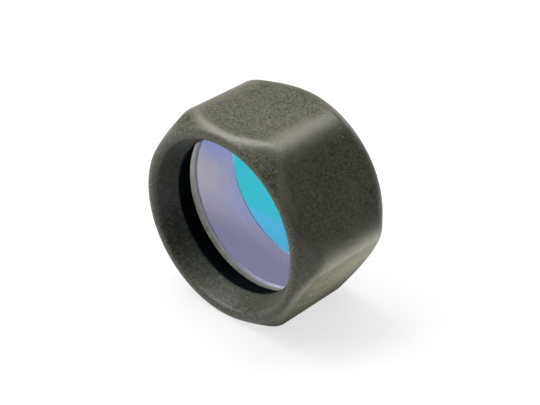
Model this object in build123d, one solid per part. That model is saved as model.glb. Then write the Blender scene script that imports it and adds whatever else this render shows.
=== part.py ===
from build123d import *
from math import cos, radians, sin, tan
import os

# A slip-on colour filter for a flashlight: one moulded rubber holder, hexagonal outside so that
# it can't roll, with a thick disc of coated glass snapped into a groove inside it.
# The holder lies on one of its six flats. The optical axis runs along Y: the open front, where
# the light leaves, faces -Y, and the bore that stretches over the flashlight's head opens at +Y.
# The origin is under the middle of the holder, on the bottom flat. Millimetres.

# The glass disc: a standard one-inch filter, the bevels ground on its edges, and its play in
# the groove
glass_diameter = 25.4
glass_thickness = 3.0
glass_bevel = 0.3
glass_play = 0.05

# The step that the glass seats on. The bore inside it stretches over a flashlight's head that is
# as wide as the glass
seat_step = 0.75

# The rubber over the glass's edge at the middle of a flat, and how far the groove's front wall
# covers the glass
flat_wall = 1.55
groove_cover = 0.2

# Lengths along the axis, from the front rim to the rear rim
lip_depth = 3.4
chamber_length = 3.3
bore_depth = 7.6

# The snap-in lip in front of the glass: its height, its blunt edge and the slope of its back
lip_height = 1.23
lip_land = 0.25
lip_back = 0.8

# The outside: moulded hexagon corners, end chamfers, and the soft ridges between them and the flats
corner_radius = 3.7
chamfer_angle = 38.3
ridge_softness = 2.0

# The end faces: how far they lie inside the flats, the front rim's width and its narrow crest,
# how far above the chamfer the rims' rounding runs out, and the sloped entry of the bore
end_inset = 0.5
rim_width = 1.2
rim_crest = 0.05
rim_lift = 0.01
bore_entry = 0.9

# Radii, from the lip outwards
glass_r = glass_diameter / 2
groove_r = glass_r + glass_play
bore_r = groove_r - seat_step
chamber_r = groove_r - groove_cover
lip_r = chamber_r - lip_height
flat_r = groove_r + flat_wall
ridge_r = (flat_r - corner_radius) / cos(radians(30)) + corner_radius
end_r = flat_r - end_inset
rim_r = end_r - rim_width
wide_r = ridge_r + end_inset

# Places along the axis, from the front rim at the low end to the rear rim at the high end
length = lip_depth + chamber_length + glass_thickness + 2 * glass_play + bore_depth
front_y = -length / 2
rear_y = length / 2
lip_y = front_y + lip_depth
groove_y = lip_y + chamber_length
glass_y = groove_y + glass_play
seat_y = rear_y - bore_depth

# The front rim is rounded from both sides up to its crest, and the rear rim is rounded to match
slope = radians(chamfer_angle)
funnel = Vector(rim_r - lip_r, lip_depth).get_angle(Vector(0, 1))
rounding_run = (rim_width - rim_crest) / 2
outer_rounding = rounding_run / tan((radians(90) - slope) / 2)
inner_rounding = rounding_run / tan(radians(90 - funnel) / 2)
cone_run = (wide_r - end_r) / tan(slope)

# A soft ridge has no more room than the chamfer gives it at the middle of a flat
ridge_room = end_inset / sin(slope) / tan(slope / 2)
ridge_radius = min(ridge_softness, ridge_room)


def corner(section, x, y):
    """The corner of a section that lies nearest to radius x and place y."""
    return section.vertices().sort_by_distance((x, y, 0))[0]


def block():
    """A hexagonal bar with both ends turned to a cone, and soft ridges where the two meet."""
    hexagon = RegularPolygon(radius=flat_r, side_count=6, major_radius=False)
    hexagon = fillet(hexagon.vertices(), corner_radius)
    bar = extrude(Plane.XZ * hexagon, length / 2, both=True)
    half = Polyline(
        (0, front_y),
        (end_r, front_y),
        (wide_r, front_y + cone_run),
        (wide_r, rear_y - cone_run),
        (end_r, rear_y),
        (0, rear_y),
        close=True,
    )
    turned_bar = bar & revolve(make_face(half), Axis.Y)
    edges = turned_bar.edges()
    ends = edges.filter_by_position(Axis.Y, front_y, front_y)
    ends += edges.filter_by_position(Axis.Y, rear_y, rear_y)
    flanks = edges.filter_by(Axis.Y)
    ridges = [edge for edge in edges if edge not in ends and edge not in flanks]
    return fillet(ridges, ridge_radius)


def turned_wall():
    """The wall round the axis: rounded rims, funnel, snap-in lip, chamber, groove and bore."""
    section = make_face(
        Polyline(
            (rim_r, front_y),
            (end_r + rim_lift, front_y),
            (wide_r + rim_lift, front_y + cone_run),
            (wide_r + rim_lift, rear_y - cone_run),
            (end_r + rim_lift, rear_y),
            (bore_r + bore_entry, rear_y),
            (bore_r, rear_y - bore_entry),
            (bore_r, seat_y),
            (groove_r, seat_y),
            (groove_r, groove_y),
            (chamber_r, groove_y),
            (chamber_r, lip_y + lip_land + lip_back),
            (lip_r, lip_y + lip_land),
            (lip_r, lip_y),
            close=True,
        )
    )
    section = fillet(corner(section, rim_r, front_y), inner_rounding)
    section = fillet(corner(section, end_r, front_y), outer_rounding)
    section = fillet(corner(section, end_r, rear_y), outer_rounding)
    return revolve(section, Axis.Y)


def rubber_holder():
    """The moulding in one piece."""
    return block() & turned_wall()


def filter_glass():
    """The thick disc, with a bevel ground on both of its edges."""
    disc = Cylinder(glass_r, glass_thickness)
    disc = chamfer(disc.edges().filter_by(GeomType.CIRCLE), glass_bevel)
    return Pos(0, glass_y + glass_thickness / 2, 0) * Rot(90, 0, 0) * disc


pieces = {
    "rubber_holder": rubber_holder(),
    "filter_glass": filter_glass(),
}

os.makedirs("parts", exist_ok=True)
for name, piece in pieces.items():
    export_step(Pos(0, 0, flat_r) * piece, f"parts/{name}.step")
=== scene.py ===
# %% [markdown]
# A colour filter for a flashlight
#
# The real thing is two pieces. A moulded rubber holder, six-sided so that it can't roll off a
# table, stretches over the flashlight's head. A thick disc of coated glass is snapped into a groove
# inside it and colours the beam. Both shapes come from the CAD model. The rubber is shown as it
# was modelled there, and gets its look from a material. The glass is made again here, because
# light bends through it and needs smoother and fewer faces than a CAD mesh has.

# %% Load the CAD model and measure it
from math import cos, radians, sin

import bpy
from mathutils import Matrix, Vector


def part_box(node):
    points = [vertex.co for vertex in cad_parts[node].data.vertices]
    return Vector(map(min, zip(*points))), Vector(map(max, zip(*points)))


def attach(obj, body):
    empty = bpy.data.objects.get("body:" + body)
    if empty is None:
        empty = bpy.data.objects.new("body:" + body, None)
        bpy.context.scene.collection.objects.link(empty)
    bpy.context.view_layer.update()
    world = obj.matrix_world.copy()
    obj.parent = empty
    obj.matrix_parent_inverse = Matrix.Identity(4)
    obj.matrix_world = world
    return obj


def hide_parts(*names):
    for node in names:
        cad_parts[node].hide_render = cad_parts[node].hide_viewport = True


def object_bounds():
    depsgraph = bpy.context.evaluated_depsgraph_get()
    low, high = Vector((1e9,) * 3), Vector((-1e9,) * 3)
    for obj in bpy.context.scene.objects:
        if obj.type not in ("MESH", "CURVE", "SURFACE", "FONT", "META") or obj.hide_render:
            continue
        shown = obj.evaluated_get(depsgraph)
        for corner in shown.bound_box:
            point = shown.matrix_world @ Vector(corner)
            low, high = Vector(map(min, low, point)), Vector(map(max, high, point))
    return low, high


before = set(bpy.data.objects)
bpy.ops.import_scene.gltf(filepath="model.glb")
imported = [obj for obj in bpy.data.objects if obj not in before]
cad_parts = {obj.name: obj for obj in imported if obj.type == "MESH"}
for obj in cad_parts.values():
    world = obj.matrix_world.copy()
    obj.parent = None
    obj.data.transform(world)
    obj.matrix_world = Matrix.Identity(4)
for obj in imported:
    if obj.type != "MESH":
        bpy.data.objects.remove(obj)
cad_low, cad_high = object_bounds()
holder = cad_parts["rubber_holder"]
glass_low, glass_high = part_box("filter_glass")

MM = 0.001
AXIS_HEIGHT = (cad_low.z + cad_high.z) / 2
CENTRE = Vector((0, 0, AXIS_HEIGHT))
HALF_FLATS = (cad_high.z - cad_low.z) / 2
CORNER_RADIUS = cad_high.x
REAR = cad_high.y
GLASS_RADIUS = (glass_high.x - glass_low.x) / 2
GLASS_FRONT = glass_low.y
GLASS_REAR = glass_high.y
print("across flats", round(2 * HALF_FLATS / MM, 2), "mm, glass", round(2 * GLASS_RADIUS / MM, 2), "mm")

# %% [markdown]
# Helpers for nodes
#
# Each finish below is a small network of shader nodes, and the glass disc is a network of geometry
# nodes. Written out in full they would be long, so a few helpers make a material, add a node and
# fill its inputs, do arithmetic on values, fade between two places, and blend two colours or two
# shaders.

# %% Make a material, add a node, fill an input
def new_material(name):
    """An empty material, with its tree and the output that a surface goes into."""
    made = bpy.data.materials.new(name)
    made.use_nodes = True
    made.node_tree.nodes.clear()
    return made, made.node_tree, made.node_tree.nodes.new("ShaderNodeOutputMaterial")


def fill(tree, socket, value):
    """Links another node's output to the socket, or sets a plain value."""
    if isinstance(value, bpy.types.NodeSocket):
        tree.links.new(value, socket)
    else:
        socket.default_value = value


def add(tree, kind, settings=None, **inputs):
    """A node of this kind. An input's underscores stand for the spaces in its name."""
    made = tree.nodes.new(kind)
    for name, value in (settings or {}).items():
        setattr(made, name, value)
    for name, value in inputs.items():
        fill(tree, made.inputs[name.replace("_", " ")], value)
    return made


# %% Arithmetic on values
def maths(tree, operation, *values, clamp=False):
    """The output of a Math node."""
    made = tree.nodes.new("ShaderNodeMath")
    made.operation = operation
    made.use_clamp = clamp
    for socket, value in zip(made.inputs, values):
        fill(tree, socket, value)
    return made.outputs[0]


def product(tree, first, *others):
    """All the values multiplied together."""
    for value in others:
        first = maths(tree, "MULTIPLY", first, value)
    return first


def reach(tree, a, b):
    """The length of the diagonal over two sides, such as the distance from an axis."""
    return maths(tree, "SQRT", maths(tree, "ADD", product(tree, a, a), product(tree, b, b)))


def between(tree, value, low, high):
    """1 where the value lies between low and high, and 0 elsewhere."""
    return product(tree, maths(tree, "GREATER_THAN", value, low), maths(tree, "LESS_THAN", value, high))


def fade(tree, value, start, end):
    """0 where the value is at start, 1 where it is at end, and smooth in between."""
    made = add(tree, "ShaderNodeMapRange", {"interpolation_type": "SMOOTHSTEP"}, Value=value)
    made.inputs["From Min"].default_value = start
    made.inputs["From Max"].default_value = end
    return made.outputs["Result"]


# %% Blend colours and shaders
def blend(tree, amount, first, second):
    """A colour between two colours."""
    made = tree.nodes.new("ShaderNodeMix")
    made.data_type = "RGBA"
    inputs = {socket.identifier: socket for socket in made.inputs}
    outputs = {socket.identifier: socket for socket in made.outputs}
    fill(tree, inputs["Factor_Float"], amount)
    fill(tree, inputs["A_Color"], first)
    fill(tree, inputs["B_Color"], second)
    return outputs["Result_Color"]


def mix_shaders(tree, amount, first, second):
    """A node between the shaders of two nodes."""
    made = add(tree, "ShaderNodeMixShader", Fac=amount)
    tree.links.new(first.outputs[0], made.inputs[1])
    tree.links.new(second.outputs[0], made.inputs[2])
    return made


def add_shaders(tree, first, second):
    """A node with the light of two nodes' shaders together."""
    made = tree.nodes.new("ShaderNodeAddShader")
    tree.links.new(first.outputs[0], made.inputs[0])
    tree.links.new(second.outputs[0], made.inputs[1])
    return made


def show(tree, out, shader):
    """Sends a node's shader to the output of the material or world."""
    tree.links.new(shader.outputs[0], out.inputs["Surface"])


# %% Places on the object, measured from the optical axis
def axis_coordinates(tree):
    """Object coordinates from the middle of the optical axis, and their three parts."""
    where = tree.nodes.new("ShaderNodeTexCoord").outputs["Object"]
    centred = add(tree, "ShaderNodeMapping", Vector=where, Location=(0, 0, -AXIS_HEIGHT))
    parts = add(tree, "ShaderNodeSeparateXYZ", Vector=centred.outputs[0])
    return centred.outputs[0], parts.outputs[0], parts.outputs[1], parts.outputs[2]


# %% [markdown]
# The rubber
#
# The holder is moulded in a dark olive-grey rubber. The outside of the mould is finely blasted, so the
# surface is matt and speckled. The inside is smooth, and it is coloured almost black as painted shade,
# for the shade that fills the chamber. Both could be painted as a picture and wrapped round, but noise in
# Object coordinates has no seams and stays fixed to the rubber from every side, so each effect is a layer
# of noise.

# %% Where the blasted outside ends and the painted shade inside begins
LIP_PLACE = -5.15 * MM
LIP_BLUR = 0.15 * MM
LIP_RADIUS = 11.3 * MM
LIP_RADIUS_BLUR = 0.1 * MM
SKIN_RADIUS = 13.0 * MM
SKIN_BLUR = 0.05 * MM


def outside_not_painted_shade(tree, y, from_axis):
    """1 on the outside and in the funnel in front of the lip, 0 on the smooth inside, which gets painted
    shade.
    """
    in_front = fade(tree, y, LIP_PLACE + LIP_BLUR, LIP_PLACE - LIP_BLUR)
    past_lip = fade(tree, from_axis, LIP_RADIUS - LIP_RADIUS_BLUR, LIP_RADIUS + LIP_RADIUS_BLUR)
    skin = fade(tree, from_axis, SKIN_RADIUS - SKIN_BLUR, SKIN_RADIUS + SKIN_BLUR)
    return maths(tree, "MAXIMUM", product(tree, in_front, past_lip), skin)


# %% [markdown]
# Wear and a painted highlight on the ridges
#
# Hands and pockets rub the ridges of a moulding first, so they are paler than the flats, and the paler
# colour also paints the highlight that the ridges catch. The shape has two kinds of ridge: the six
# rounded corners of the hexagon, and the wavy lines where the hexagon meets the cones at its ends. How
# far a place is from a flat, a corner and a cone can be worked out from its coordinates, so the wear and
# the painted highlight follow the ridges without being drawn.

# %% How near a place is to a ridge
FLAT_ANGLES = (30, -30)
CHAMFER_SLOPE = 0.79
END_INSET = 0.5 * MM
RIDGE_WIDTH = 0.9 * MM


def inside_flats(tree, x, z):
    """How far a place lies inside the nearest flat of the hexagon."""
    farthest = maths(tree, "ABSOLUTE", z)
    for angle in FLAT_ANGLES:
        along_x = product(tree, x, cos(radians(angle)))
        along_z = product(tree, z, sin(radians(angle)))
        across = maths(tree, "ABSOLUTE", maths(tree, "ADD", along_x, along_z))
        farthest = maths(tree, "MAXIMUM", farthest, across)
    return maths(tree, "SUBTRACT", HALF_FLATS, farthest)


def inside_cones(tree, y, from_axis):
    """How far a place lies inside the cone at the nearer end, and 0 on or past it."""
    to_end = maths(tree, "SUBTRACT", REAR, maths(tree, "ABSOLUTE", y))
    cone = maths(tree, "ADD", product(tree, to_end, CHAMFER_SLOPE), HALF_FLATS - END_INSET)
    return maths(tree, "MAXIMUM", maths(tree, "SUBTRACT", cone, from_axis), 0.0)


def near_ridge(tree, x, y, z, from_axis):
    """1 on a ridge, fading to 0 at the ridge's width from it."""
    to_corner = maths(tree, "SUBTRACT", CORNER_RADIUS, from_axis)
    to_side = maths(tree, "MINIMUM", inside_flats(tree, x, z), to_corner)
    to_ridge = maths(tree, "ADD", to_side, inside_cones(tree, y, from_axis))
    ridge = fade(tree, to_ridge, RIDGE_WIDTH, 0.0)
    corner = fade(tree, from_axis, CORNER_RADIUS - RIDGE_WIDTH, CORNER_RADIUS)
    return maths(tree, "MAXIMUM", ridge, corner)


# %% The colour of the blasted skin
RUBBER = (0.008, 0.0075, 0.004, 1)
RUBBER_LIGHT = (0.150, 0.147, 0.102, 1)
WORN_AND_HIGHLIGHT = (0.21, 0.20, 0.155, 1)
DUST = (0.4, 0.39, 0.35, 1)
GRAIN_PER_METRE = 5000
DUST_PER_METRE = 420
GRAIN_TONE = 0.6
NOISE_TONE = 0.8
DARKEST_TONE = 0.2
LIGHTEST_TONE = 1.15
MOTTLE_START = 0.35
MOTTLE_END = 0.7
MOTTLE_AMOUNT = 0.25
WEAR_AND_HIGHLIGHT_AMOUNT = 1.3
DUST_RADIUS = 0.08
DUST_CORE = 0.04
DUST_AMOUNT = 0.6


def skin_colour(tree, where, grain, mottle, rubbed_and_lit):
    """Grains of random tone, slow mottling, ridges paler for wear and a painted highlight, and a few
    specks of dust.
    """
    grains = add(tree, "ShaderNodeTexVoronoi", Vector=where, Scale=GRAIN_PER_METRE)
    random_tone = add(tree, "ShaderNodeSeparateColor", Color=grains.outputs["Color"]).outputs[0]
    tone = maths(tree, "MULTIPLY_ADD", random_tone, GRAIN_TONE, product(tree, grain, NOISE_TONE))
    skin = blend(tree, fade(tree, tone, DARKEST_TONE, LIGHTEST_TONE), RUBBER, RUBBER_LIGHT)
    mottled = product(tree, fade(tree, mottle, MOTTLE_START, MOTTLE_END), MOTTLE_AMOUNT)
    skin = blend(tree, mottled, skin, RUBBER_LIGHT)
    # The ridges are made paler, partly for wear and partly as a painted highlight.
    skin = blend(tree, product(tree, rubbed_and_lit, mottle, WEAR_AND_HIGHLIGHT_AMOUNT), skin, WORN_AND_HIGHLIGHT)
    specks = add(tree, "ShaderNodeTexVoronoi", Vector=where, Scale=DUST_PER_METRE)
    dusty = product(tree, fade(tree, specks.outputs["Distance"], DUST_RADIUS, DUST_CORE), DUST_AMOUNT)
    return blend(tree, dusty, skin, DUST)


# %% The material of the rubber
MOTTLE_PER_METRE = 160
RUBBER_ROUGHNESS = 0.34
MOTTLE_ROUGHNESS = 0.16
GRAIN_HEIGHT = 0.05 * MM
PAINTED_SHADE_INSIDE = (0.003, 0.003, 0.004, 1)


def rubber_material():
    """Blasted and worn outside with a painted highlight on the ridges, smooth inside coloured near-black
    as painted shade.
    """
    made, tree, out = new_material("moulded_rubber")
    where, x, y, z = axis_coordinates(tree)
    from_axis = reach(tree, x, z)
    noise = "ShaderNodeTexNoise"
    fine = add(tree, noise, Vector=where, Scale=GRAIN_PER_METRE, Detail=3.0, Roughness=0.6)
    slow = add(tree, noise, Vector=where, Scale=MOTTLE_PER_METRE, Detail=4.0)
    grain, mottle = fine.outputs["Fac"], slow.outputs["Fac"]
    skin = skin_colour(tree, where, grain, mottle, near_ridge(tree, x, y, z, from_axis))
    roughness = maths(tree, "MULTIPLY_ADD", mottle, MOTTLE_ROUGHNESS, RUBBER_ROUGHNESS)
    bump = add(tree, "ShaderNodeBump", Height=grain, Strength=0.5, Distance=GRAIN_HEIGHT).outputs[0]
    look = {"Base_Color": skin, "Roughness": roughness, "Normal": bump, "IOR": 1.55}
    blasted = add(tree, "ShaderNodeBsdfPrincipled", **look)
    # The near-black colour of the inside is painted shade for the chamber.
    smooth = add(tree, "ShaderNodeBsdfPrincipled", Base_Color=PAINTED_SHADE_INSIDE, Roughness=0.8, IOR=1.2)
    show(tree, out, mix_shaders(tree, outside_not_painted_shade(tree, y, from_axis), smooth, blasted))
    return made


holder.data.materials.clear()
holder.data.materials.append(rubber_material())
print(holder.name, len(holder.data.polygons), "faces in", holder.data.materials[0].name)

# %% [markdown]
# The finishes of the glass
#
# The disc has three finishes. Its front is polished and bare. Its edge is ground, so it shows
# as a pale crescent through the front. Its back carries a coating of thin layers, which lets
# blue-green light through and throws the rest back as a soft violet. Real glass bends a lamp's
# light into bright patterns that take very long to render, so here that light passes straight.

# %% A helper that lets the lamps light what is behind the glass
WHITE = (1, 1, 1, 1)
GLASS_IOR = 1.5


def let_lamps_through(tree, shader, tint):
    """The same surface, but a lamp's light passes it straight and tinted."""
    shadow = tree.nodes.new("ShaderNodeLightPath").outputs["Is Shadow Ray"]
    clear = add(tree, "ShaderNodeBsdfTransparent", Color=tint)
    return mix_shaders(tree, shadow, shader, clear)


# %% The polished front
FRONT_GLOSS = 0.2


def polished_material():
    """Bends light, and mirrors a little of it, more at low angles."""
    made, tree, out = new_material("polished_glass")
    passed = add(tree, "ShaderNodeBsdfRefraction", Color=WHITE, Roughness=0.0, IOR=GLASS_IOR)
    mirrored = add(tree, "ShaderNodeBsdfGlossy", Color=WHITE, Roughness=0.0)
    fresnel = add(tree, "ShaderNodeFresnel", IOR=GLASS_IOR).outputs[0]
    both = mix_shaders(tree, product(tree, fresnel, FRONT_GLOSS), passed, mirrored)
    show(tree, out, let_lamps_through(tree, both, WHITE))
    return made


# %% [markdown]
# The ground edge
#
# The edge of the disc is left as the grinding wheel leaves it. A plain matt grey would do, but light and
# shade are painted into its colour as well: painted shade makes it darker at the bottom and painted light
# paler at the top, painted violet light from the coating tints it towards the back, and its two bevels
# get painted highlights. So its colour fades from one place to the next.

# %% The colours of the ground edge, with painted light and shade
EDGE_PAINTED_SHADE = (0.15, 0.15, 0.105, 1)
EDGE_PAINTED_LIGHT = (0.56, 0.54, 0.48, 1)
EDGE_PAINTED_VIOLET = (0.33, 0.33, 0.40, 1)
FRONT_BEVEL_HIGHLIGHT = (0.9, 1.0, 0.95, 1)
BACK_BEVEL_PAINTED_LIGHT = (0.62, 0.62, 0.75, 1)
EDGE_LOW = -6.0 * MM
EDGE_HIGH = 5.0 * MM
PAINTED_LIGHT_SHARE = 0.75
NOISE_SHARE = 0.25
PAINTED_VIOLET_START = 1.2 * MM
FRONT_BEVEL_FADE = (0.35 * MM, 0.25 * MM)
BACK_BEVEL_FADE = (0.6 * MM, 0.3 * MM)


def edge_colour(tree, y, z, noise):
    """Olive-grey, with painted shade low down and painted light high up, painted violet light towards the
    coating, and a painted highlight on the front bevel.
    """
    # Height sets most of the paleness: painted shade low down, painted light high up.
    high = product(tree, fade(tree, z, EDGE_LOW, EDGE_HIGH), PAINTED_LIGHT_SHARE)
    pale = maths(tree, "MULTIPLY_ADD", fade(tree, noise, 0.3, 0.7), NOISE_SHARE, high)
    colour = blend(tree, pale, EDGE_PAINTED_SHADE, EDGE_PAINTED_LIGHT)
    # Painted violet light from the coating, towards the back of the edge.
    colour = blend(tree, fade(tree, y, GLASS_FRONT + PAINTED_VIOLET_START, GLASS_REAR), colour, EDGE_PAINTED_VIOLET)
    # A painted highlight on the front bevel.
    start, end = FRONT_BEVEL_FADE
    return blend(tree, fade(tree, y, GLASS_FRONT + start, GLASS_FRONT + end), colour, FRONT_BEVEL_HIGHLIGHT)


# %% The material of the ground edge
EDGE_GRAIN_PER_METRE = 900.0
EDGE_GRAIN_HEIGHT = 0.05 * MM
EDGE_GLOSS = 0.6


def ground_material():
    """Matt with some gloss, which falls to none on the back bevel."""
    made, tree, out = new_material("ground_edge")
    where, x, y, z = axis_coordinates(tree)
    grain = add(tree, "ShaderNodeTexNoise", Vector=where, Scale=EDGE_GRAIN_PER_METRE, Detail=4.0)
    noise = grain.outputs["Fac"]
    start, end = BACK_BEVEL_FADE
    back_bevel = fade(tree, y, GLASS_REAR - start, GLASS_REAR - end)
    # A painted violet highlight on the back bevel.
    colour = blend(tree, back_bevel, edge_colour(tree, y, z, noise), BACK_BEVEL_PAINTED_LIGHT)
    bump = add(tree, "ShaderNodeBump", Height=noise, Strength=0.3, Distance=EDGE_GRAIN_HEIGHT).outputs[0]
    matt = add(tree, "ShaderNodeBsdfPrincipled", Base_Color=colour, Roughness=0.65, Normal=bump)
    sheen = add(tree, "ShaderNodeBsdfGlossy", Color=colour, Roughness=0.45, Normal=bump)
    share = maths(tree, "MULTIPLY_ADD", back_bevel, -EDGE_GLOSS, EDGE_GLOSS)
    show(tree, out, mix_shaders(tree, share, matt, sheen))
    return made


# %% [markdown]
# The coating
#
# A real coating is a stack of layers thinner than a wavelength. What one colour loses on the way
# through, it gains in the mirror image, so two shaders are added: one bends the blue-green part
# through, and one mirrors the violet part. Slow noise gives the violet the cloudy look of a
# coating whose thickness varies a little, and it turns greyer towards the edge and the bottom.

# %% The coating on the back
PASSED = (0.028, 0.435, 0.535, 1)
PASSED_BY_LAMPS = (0.08, 0.2, 0.25, 1)
THROWN_BACK = (0.245, 0.275, 0.49, 1)
THROWN_BACK_LOW = (0.205, 0.205, 0.32, 1)
THROWN_BACK_EDGE = (0.37, 0.35, 0.42, 1)
CLOUDS_PER_METRE = 210.0
CLOUD_AMOUNT = 0.9
CLOUD_MIDDLE = 0.5
RING_START = 0.25 * GLASS_RADIUS
RING_END = 0.8 * GLASS_RADIUS
TOP_START = 1.0 * MM
TOP_END = 6.5 * MM
LOW_START = -1.0 * MM
LOW_END = -8.0 * MM


def violet_colour(tree, where, x, z):
    """Violet at the top, greyer towards the edge and darker low down."""
    clouds = add(tree, "ShaderNodeTexNoise", Vector=where, Scale=CLOUDS_PER_METRE, Detail=2.0)
    below_top = maths(tree, "SUBTRACT", 1.0, fade(tree, z, TOP_START, TOP_END))
    ring = product(tree, fade(tree, reach(tree, x, z), RING_START, RING_END), below_top)
    ring = maths(tree, "SUBTRACT", ring, CLOUD_MIDDLE)
    greyer = maths(tree, "MULTIPLY_ADD", clouds.outputs["Fac"], CLOUD_AMOUNT, ring, clamp=True)
    violet = blend(tree, greyer, THROWN_BACK, THROWN_BACK_EDGE)
    return blend(tree, fade(tree, z, LOW_START, LOW_END), violet, THROWN_BACK_LOW)


def coating_material():
    """Blue-green in the light that passes, violet in the light that it throws back."""
    made, tree, out = new_material("interference_coating")
    where, x, y, z = axis_coordinates(tree)
    passed = add(tree, "ShaderNodeBsdfRefraction", Color=PASSED, Roughness=0.0, IOR=GLASS_IOR)
    violet = violet_colour(tree, where, x, z)
    thrown = add(tree, "ShaderNodeBsdfGlossy", Color=violet, Roughness=0.0)
    both = add_shaders(tree, passed, thrown)
    show(tree, out, let_lamps_through(tree, both, PASSED_BY_LAMPS))
    return made


# %% [markdown]
# The glass disc
#
# A filter disc is sawn from a rod or a sheet, ground round, bevelled and polished. Geometry Nodes
# do the same here: a flat round face is pulled out three times, once for each bevel and once for
# the edge, and each stretch gets its own finish. A tree with the sizes as inputs suits it because
# nothing about the disc is drawn by hand.

# %% The inputs of the disc's tree
def disc_inputs(tree):
    """Named inputs for the sizes and the finishes, and an output for the disc."""
    for name in ("Radius", "Thickness", "Bevel", "Front"):
        tree.interface.new_socket(name, in_out="INPUT", socket_type="NodeSocketFloat")
    tree.interface.new_socket("Segments", in_out="INPUT", socket_type="NodeSocketInt")
    for name in ("Front Finish", "Edge Finish", "Back Finish"):
        tree.interface.new_socket(name, in_out="INPUT", socket_type="NodeSocketMaterial")
    tree.interface.new_socket("Geometry", in_out="OUTPUT", socket_type="NodeSocketGeometry")
    return tree.nodes.new("NodeGroupInput").outputs


# %% Pull the back face out to a closed disc
MERGE_DISTANCE = 0.001 * MM


def finished(tree, geometry, finish, **picked):
    """The geometry with a finish on the picked faces, or on all of them."""
    return add(tree, "GeometryNodeSetMaterial", Geometry=geometry, Material=finish, **picked).outputs[0]


def pulled_disc(tree, given):
    """A disc that lies flat, with its back at height 0 and its front on top."""
    narrow = maths(tree, "SUBTRACT", given["Radius"], given["Bevel"])
    wall = maths(tree, "SUBTRACT", given["Thickness"], product(tree, given["Bevel"], 2.0))
    wider = maths(tree, "DIVIDE", given["Radius"], narrow)
    narrower = maths(tree, "DIVIDE", narrow, given["Radius"])
    filled = {"fill_type": "NGON"}
    face = add(tree, "GeometryNodeMeshCircle", filled, Vertices=given["Segments"], Radius=narrow)
    back = finished(tree, face.outputs[0], given["Back Finish"])
    grown = back
    top = {}
    for distance, scale in ((given["Bevel"], wider), (wall, 1.0), (given["Bevel"], narrower)):
        pulled = add(tree, "GeometryNodeExtrudeMesh", Mesh=grown, Offset_Scale=distance, **top)
        side = {"Selection": pulled.outputs["Side"]}
        top = {"Selection": pulled.outputs["Top"]}
        scaled = add(tree, "GeometryNodeScaleElements", Geometry=pulled.outputs[0], Scale=scale, **top)
        grown = finished(tree, scaled.outputs[0], given["Edge Finish"], **side)
    fronted = finished(tree, grown, given["Front Finish"], **top)
    flipped = add(tree, "GeometryNodeFlipFaces", Mesh=back)
    whole = tree.nodes.new("GeometryNodeJoinGeometry")
    tree.links.new(fronted, whole.inputs[0])
    tree.links.new(flipped.outputs[0], whole.inputs[0])
    merge = {"Geometry": whole.outputs[0], "Distance": MERGE_DISTANCE}
    return add(tree, "GeometryNodeMergeByDistance", **merge).outputs[0]


# %% Stand the disc up and shade it
CRISP_ANGLE = radians(30)


def disc_tree():
    """A disc that stands across the Y axis, with its front at the given place."""
    tree = bpy.data.node_groups.new("ground_disc", "GeometryNodeTree")
    given = disc_inputs(tree)
    lying = pulled_disc(tree, given)
    back_place = maths(tree, "ADD", given["Front"], given["Thickness"])
    place = add(tree, "ShaderNodeCombineXYZ", Y=back_place, Z=AXIS_HEIGHT).outputs[0]
    turn = (radians(90), 0, 0)
    stood = add(tree, "GeometryNodeTransform", Geometry=lying, Translation=place, Rotation=turn)
    angle = tree.nodes.new("GeometryNodeInputMeshEdgeAngle").outputs[0]
    crisp = maths(tree, "GREATER_THAN", angle, CRISP_ANGLE)
    shading = "GeometryNodeSetShadeSmooth"
    smooth = add(tree, shading, {"domain": "FACE"}, Geometry=stood.outputs[0], Shade_Smooth=True)
    edges = {"Geometry": smooth.outputs[0], "Selection": crisp, "Shade_Smooth": False}
    sharp = add(tree, shading, {"domain": "EDGE"}, **edges)
    real = add(tree, "GeometryNodeRealizeInstances", Geometry=sharp.outputs[0])
    out = tree.nodes.new("NodeGroupOutput")
    tree.links.new(real.outputs[0], out.inputs[0])
    return tree


# %% A helper that turns a tree into a plain mesh
def grow(name, tree, **sizes):
    """A plain mesh object made by the tree, with its inputs set before it is evaluated."""
    empty = bpy.data.meshes.new(name)
    made = bpy.data.objects.new(name, empty)
    bpy.context.scene.collection.objects.link(made)
    modifier = made.modifiers.new(name, "NODES")
    modifier.node_group = tree
    for item in tree.interface.items_tree:
        if item.in_out == "INPUT":
            modifier[item.identifier] = sizes[item.name.replace(" ", "_")]
    evaluated = made.evaluated_get(bpy.context.evaluated_depsgraph_get())
    mesh = bpy.data.meshes.new_from_object(evaluated)
    made.modifiers.remove(modifier)
    made.data = mesh
    bpy.data.meshes.remove(empty)
    mesh.name = name
    # A circle made by nodes starts with an empty material slot, which no face of the disc wears
    mesh.materials.pop(index=0)
    return made


# %% Make the disc
BEVEL = 0.3 * MM
DISC_SEGMENTS = 192

glass = grow(
    "coated_glass",
    disc_tree(),
    Radius=GLASS_RADIUS,
    Thickness=GLASS_REAR - GLASS_FRONT,
    Bevel=BEVEL,
    Front=GLASS_FRONT,
    Segments=DISC_SEGMENTS,
    Front_Finish=polished_material(),
    Edge_Finish=ground_material(),
    Back_Finish=coating_material(),
)
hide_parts("filter_glass")
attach(glass, "root")
print(glass.name, len(glass.data.polygons), "faces in", [finish.name for finish in glass.data.materials])

# %% [markdown]
# The floor
#
# The photograph has a white ground. A floor that is white under the lamps would throw light back
# at the rubber from all sides and flatten it, so the floor is grey to the light that it bounces.
# To the camera, through the glass and in mirrored rays it glows just enough to be white, and still keeps
# the object's soft shadow. Mirrored rays see it darker close under the object, a painted shade where a
# real floor lies in shade. Rays that have passed the glass see the floor just behind the bore bluer, a
# painted patch of the violet light that the coating throws back, so the lower part of the view through
# the bore is bluer.

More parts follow.
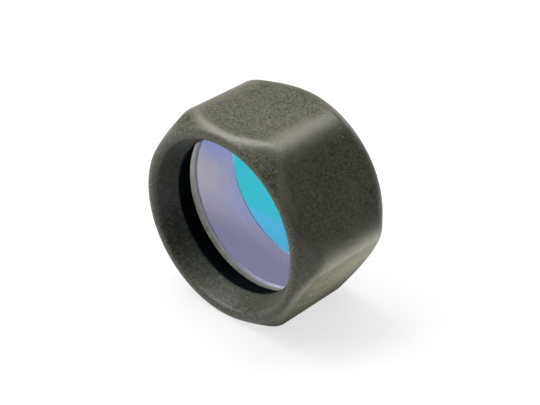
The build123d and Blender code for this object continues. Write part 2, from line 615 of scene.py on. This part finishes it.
# %% The floor's glow
FLOOR_GLOW = 0.72
FAR_FROM = 100 * MM
FAR_TO = 700 * MM
SHADE_EDGE = 34 * MM
SHADE_CORE = 16 * MM
SHADE_FRONT = (-10 * MM, -5 * MM)
SHADE_DEPTH = 0.85
PAINTED_VIOLET_PATCH = (3.0, 0.83, 1.24, 1)
PATCH_END = 15.5 * MM
PATCH_BLUR = 1.2 * MM


def floor_glow(tree, path):
    """White far away, a little darker near by, with painted shade under the object for mirrored rays and
    a painted patch of violet light behind it for rays through the glass.
    """
    where = tree.nodes.new("ShaderNodeTexCoord").outputs["Object"]
    parts = add(tree, "ShaderNodeSeparateXYZ", Vector=where).outputs
    x, y = parts[0], parts[1]
    from_object = reach(tree, x, y)
    passed = path["Is Transmission Ray"]
    only_mirrored = maths(tree, "SUBTRACT", path["Is Glossy Ray"], passed, clamp=True)
    # Painted shade under the object, for mirrored rays.
    under = product(tree, fade(tree, from_object, SHADE_EDGE, SHADE_CORE), fade(tree, y, *SHADE_FRONT))
    under = product(tree, under, only_mirrored, SHADE_DEPTH)
    behind = maths(tree, "GREATER_THAN", y, 0.0)
    # A painted patch of the coating's violet light behind the bore, for rays through the glass.
    painted_patch = product(tree, fade(tree, y, PATCH_END + PATCH_BLUR, PATCH_END), behind, passed)
    far = fade(tree, from_object, FAR_FROM, FAR_TO)
    strength = maths(tree, "MULTIPLY_ADD", far, 1 - FLOOR_GLOW, FLOOR_GLOW)
    strength = product(tree, strength, maths(tree, "SUBTRACT", 1.0, under))
    return add(tree, "ShaderNodeEmission", Color=blend(tree, painted_patch, WHITE, PAINTED_VIOLET_PATCH), Strength=strength)


# %% The floor's material
FLOOR = (0.2, 0.2, 0.2, 1)
FLOOR_SHADE = (0.3, 0.3, 0.3, 1)


def floor_material():
    """Grey to bounced light, and glowing to the camera, the glass and mirrored rays."""
    made, tree, out = new_material("studio_floor")
    path = tree.nodes.new("ShaderNodeLightPath").outputs
    seen = maths(tree, "MAXIMUM", path["Is Camera Ray"], path["Is Transmission Ray"])
    seen = maths(tree, "MAXIMUM", seen, path["Is Glossy Ray"])
    matt = add(tree, "ShaderNodeBsdfDiffuse", Color=FLOOR)
    shade = add(tree, "ShaderNodeBsdfDiffuse", Color=FLOOR_SHADE)
    show(tree, out, mix_shaders(tree, seen, matt, add_shaders(tree, shade, floor_glow(tree, path))))
    return made


# %% The floor
FLOOR_HALF = 1.5
FLOOR_GAP = 0.02 * MM


def stage_mesh(name, points, faces, materials):
    """A mesh object that belongs to the studio and not to the filter."""
    mesh = bpy.data.meshes.new(name)
    mesh.from_pydata(points, [], faces)
    for material in dict.fromkeys(materials):
        mesh.materials.append(material)
    made = bpy.data.objects.new(name, mesh)
    bpy.context.scene.collection.objects.link(made)
    return made


sides = ((-1, -1), (1, -1), (1, 1), (-1, 1))
corners = [(x * FLOOR_HALF, y * FLOOR_HALF, -FLOOR_GAP) for x, y in sides]
floor = stage_mesh("studio_floor", corners, [(0, 1, 2, 3)], [floor_material()])
print(floor.name, 2 * FLOOR_HALF, "m wide")

# %% The world
WORLD_FILL = 0.03

world = bpy.data.worlds.new("studio")
bpy.context.scene.world = world
world.use_nodes = True
tree = world.node_tree
tree.nodes.clear()
path = tree.nodes.new("ShaderNodeLightPath").outputs
seen = maths(tree, "MAXIMUM", path["Is Camera Ray"], path["Is Transmission Ray"])
strength = maths(tree, "MULTIPLY_ADD", seen, 1 - WORLD_FILL, WORLD_FILL)
sky = add(tree, "ShaderNodeBackground", Color=WHITE, Strength=strength)
show(tree, tree.nodes.new("ShaderNodeOutputWorld"), sky)

# %% [markdown]
# The lights
#
# The photograph shows a bright top flat, a dark right flat and pale ridges, so three square lamps
# stand high on the left, high behind, and lower in front on the left. The lower right corner is
# bright too. Only light from below can reach it and miss the dark flat above it, so a small card
# of light lies on the floor beside the object, where the camera, mirrors and glass don't see it.

# %% Lights
def softbox(name, place, size, power):
    """A square lamp that looks at the object."""
    lamp = bpy.data.lights.new(name, "AREA")
    lamp.size = size
    lamp.energy = power
    made = bpy.data.objects.new(name, lamp)
    made.location = place
    made.rotation_euler = (CENTRE - Vector(place)).to_track_quat("-Z", "Y").to_euler()
    bpy.context.scene.collection.objects.link(made)
    return made


softbox("left_high", (-0.235, 0.0, 0.47), 0.34, 2.2)
softbox("back_high", (0.0, 0.235, 0.47), 0.34, 1.25)
softbox("front_left", (-0.29, -0.29, 0.315), 0.3, 1.35)

# %% The card of light on the floor
CARD_PLACE = (0.0207, 0.004, 0.0004)
CARD_WIDTH = 7.5 * MM
CARD_LENGTH = 22 * MM
CARD_POWER = 0.0065
FACE_UP = (radians(180), 0, 0)

card = softbox("floor_card", CARD_PLACE, CARD_WIDTH, CARD_POWER)
card.rotation_euler = FACE_UP
card.data.shape = "RECTANGLE"
card.data.size_y = CARD_LENGTH
card.visible_camera = False
card.visible_transmission = False
card.visible_glossy = False

# %% [markdown]
# What the coating mirrors
#
# Photographers hold black and white cards near coated glass to choose what it mirrors. In the
# photograph the coating is dark where you look straight through the bore, and violet where
# the bore's wall is behind it. A white sleeve with a black end, which only rays that the coating
# has mirrored can see, does that here. Each stretch of it is a ring of faces about the axis.

# %% Card that only the coating's mirror image can see
def card_material(name, strength, inside_glass):
    """Glows to rays that were mirrored once, inside the glass or on their way out of its front."""
    made, tree, out = new_material(name)
    path = tree.nodes.new("ShaderNodeLightPath").outputs
    mirrored = between(tree, path["Glossy Depth"], 0.5, 1.5)
    if inside_glass:
        entered = between(tree, path["Transmission Depth"], 0.5, 1.5)
        mirrored = product(tree, mirrored, path["Is Glossy Ray"], entered)
    else:
        left = between(tree, path["Transmission Depth"], 1.5, 2.5)
        mirrored = product(tree, mirrored, left)
    clear = tree.nodes.new("ShaderNodeBsdfTransparent")
    glow = add(tree, "ShaderNodeEmission", Color=WHITE, Strength=strength)
    show(tree, out, mix_shaders(tree, mirrored, clear, glow))
    return made


inner_card = card_material("inner_card", 1.0, True)
white_card = card_material("white_card", 1.0, False)
black_card = card_material("black_card", 0.0, False)

# %% The sleeve's outline, as radius and place along the axis in millimetres
SLEEVE_START = (12.65, 1.0)
SLEEVE_STRETCHES = [
    ((12.65, -1.5), inner_card),
    ((12.38, -1.94), inner_card),
    ((12.38, -1.96), white_card),
    ((11.2, -4.2), white_card),
    ((11.2, -5.3), white_card),
    ((12.0, -7.36), white_card),
    ((0.0, -7.36), black_card),
]
SLEEVE_SEGMENTS = 192


# %% Turn the outline about the axis
def turned(name, start, stretches, segments):
    """A surface turned about the optical axis. Each stretch ends at a place and has a material."""
    points = []
    for radius, place in [start] + [end for end, material in stretches]:
        for step in range(segments):
            turn = radians(360 * step / segments)
            points.append((radius * MM * cos(turn), place * MM, AXIS_HEIGHT + radius * MM * sin(turn)))
    faces = []
    for near in range(0, len(stretches) * segments, segments):
        far = near + segments
        for step in range(segments):
            following = (step + 1) % segments
            faces.append([near + step, near + following, far + following, far + step])
    materials = [material for end, material in stretches]
    made = stage_mesh(name, points, faces, materials)
    for number, face in enumerate(made.data.polygons):
        face.material_index = made.data.materials.find(materials[number // segments].name)
    return made


sleeve = turned("mirror_sleeve", SLEEVE_START, SLEEVE_STRETCHES, SLEEVE_SEGMENTS)
print(sleeve.name, len(sleeve.data.polygons), "faces")

# %% [markdown]
# The camera
#
# A long lens, a little above the object and to the right of its front, as in the photograph.

# %% Camera
AZIMUTH = radians(43.37)
ELEVATION = radians(31.86)
DISTANCE = 195 * MM
LENS = 95.3
SENSOR_WIDTH = 36
NEAREST = 10 * MM
AIM_RIGHT = 0.85 * MM

back = Vector((sin(AZIMUTH) * cos(ELEVATION), -cos(AZIMUTH) * cos(ELEVATION), sin(ELEVATION)))
right = Vector((cos(AZIMUTH), sin(AZIMUTH), 0))
camera = bpy.data.objects.new("camera", bpy.data.cameras.new("camera"))
camera.data.lens = LENS
camera.data.sensor_width = SENSOR_WIDTH
camera.data.clip_start = NEAREST
camera.location = CENTRE + back * DISTANCE
camera.rotation_euler = (CENTRE + right * AIM_RIGHT - camera.location).to_track_quat("-Z", "Y").to_euler()
bpy.context.scene.collection.objects.link(camera)
bpy.context.scene.camera = camera
bpy.context.scene.view_settings.view_transform = "Standard"
